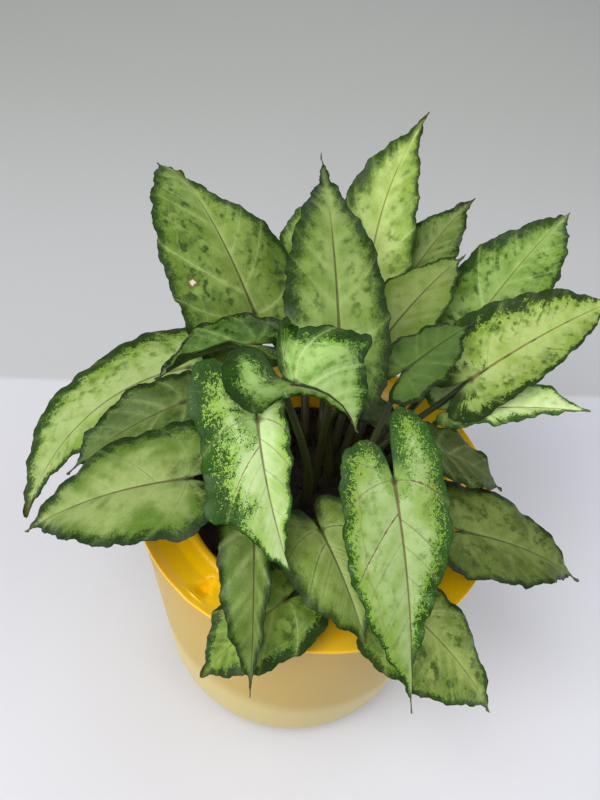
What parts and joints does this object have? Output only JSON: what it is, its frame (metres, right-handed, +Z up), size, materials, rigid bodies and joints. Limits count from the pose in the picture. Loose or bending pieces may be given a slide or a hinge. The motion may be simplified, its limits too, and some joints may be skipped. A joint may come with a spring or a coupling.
{
  "type": "potted plant",
  "caption": "Potted syngonium: variegated arrowhead leaves on upright petioles in a two-part self-watering pot with a frosted reservoir and a yellow insert.",
  "frame": {"origin": "centre of the pot's flat underside", "axes": "+Z up along the pot's axis; -Y towards the side from which the picture is taken; +X to the right of that view"},
  "size_m": [0.2005, 0.1913, 0.2114],
  "materials": {
    "frosted_plastic": "frosted, translucent cream",
    "yellow_plastic": "glossy yellow",
    "potting_soil": "dark crumbly potting soil",
    "cotton": "twisted cotton wick",
    "variegated_leaf": "pale green leaf with dark green speckled margin, satin"
  },
  "bodies": {
    "root": {"outer_pot": "frosted_plastic", "inner_pot": "yellow_plastic", "soil": "potting_soil", "wick": "cotton", "leaf_back_left": "variegated_leaf", "leaf_back_tall": "variegated_leaf", "leaf_back_high": "variegated_leaf", "leaf_back_small": "variegated_leaf", "leaf_back_bright": "variegated_leaf", "leaf_back_right": "variegated_leaf", "leaf_back_sliver": "variegated_leaf", "leaf_rear_left": "variegated_leaf", "leaf_rear_middle": "variegated_leaf", "leaf_rear_right": "variegated_leaf", "leaf_right_dark": "variegated_leaf", "leaf_right_large": "variegated_leaf", "leaf_right_under": "variegated_leaf", "leaf_right_shade": "variegated_leaf", "leaf_right_low": "variegated_leaf", "leaf_front_right": "variegated_leaf", "leaf_front_under": "variegated_leaf", "leaf_front_left": "variegated_leaf", "leaf_front_middle": "variegated_leaf", "leaf_front_folded": "variegated_leaf", "leaf_front_low": "variegated_leaf", "leaf_middle_curled": "variegated_leaf", "leaf_middle_dark": "variegated_leaf", "leaf_left_rolled": "variegated_leaf", "leaf_left_upper": "variegated_leaf", "leaf_left_lower": "variegated_leaf", "leaf_left_between": "variegated_leaf"}
  },
  "joints": []
}
